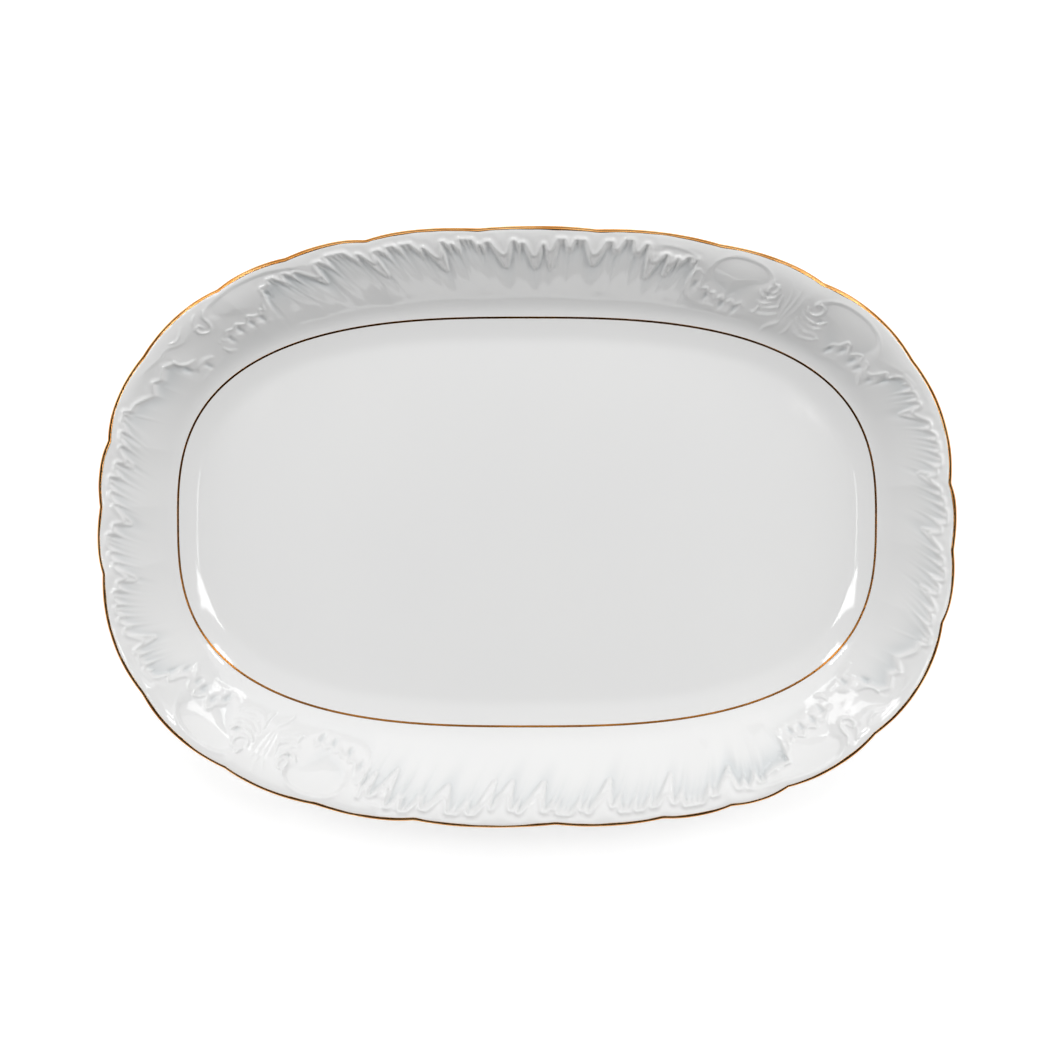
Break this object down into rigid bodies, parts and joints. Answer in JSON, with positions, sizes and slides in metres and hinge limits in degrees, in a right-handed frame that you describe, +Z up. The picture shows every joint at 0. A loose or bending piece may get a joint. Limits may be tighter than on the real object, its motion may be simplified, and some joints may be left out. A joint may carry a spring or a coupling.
{
  "type": "serving platter",
  "caption": "Oval porcelain serving platter with a flat well, moulded scalloped flange, gilded edge and well line, standing on an oval foot ring; serves and displays food.",
  "frame": {"origin": "middle of the foot ring's base, on the surface that the platter stands on", "axes": "+X along the length of the oval, +Y across it, +Z up out of the well"},
  "size_m": [0.34, 0.2399, 0.0327],
  "materials": {
    "porcelain": "clear glossy glaze over white porcelain",
    "bisque": "unglazed, ground smooth where it stands",
    "gold": "bright fired gold"
  },
  "bodies": {
    "root": {"china_body": "porcelain", "foot_ring": "bisque", "gilt_edge": "gold", "gilt_well_line": "gold"}
  },
  "joints": []
}
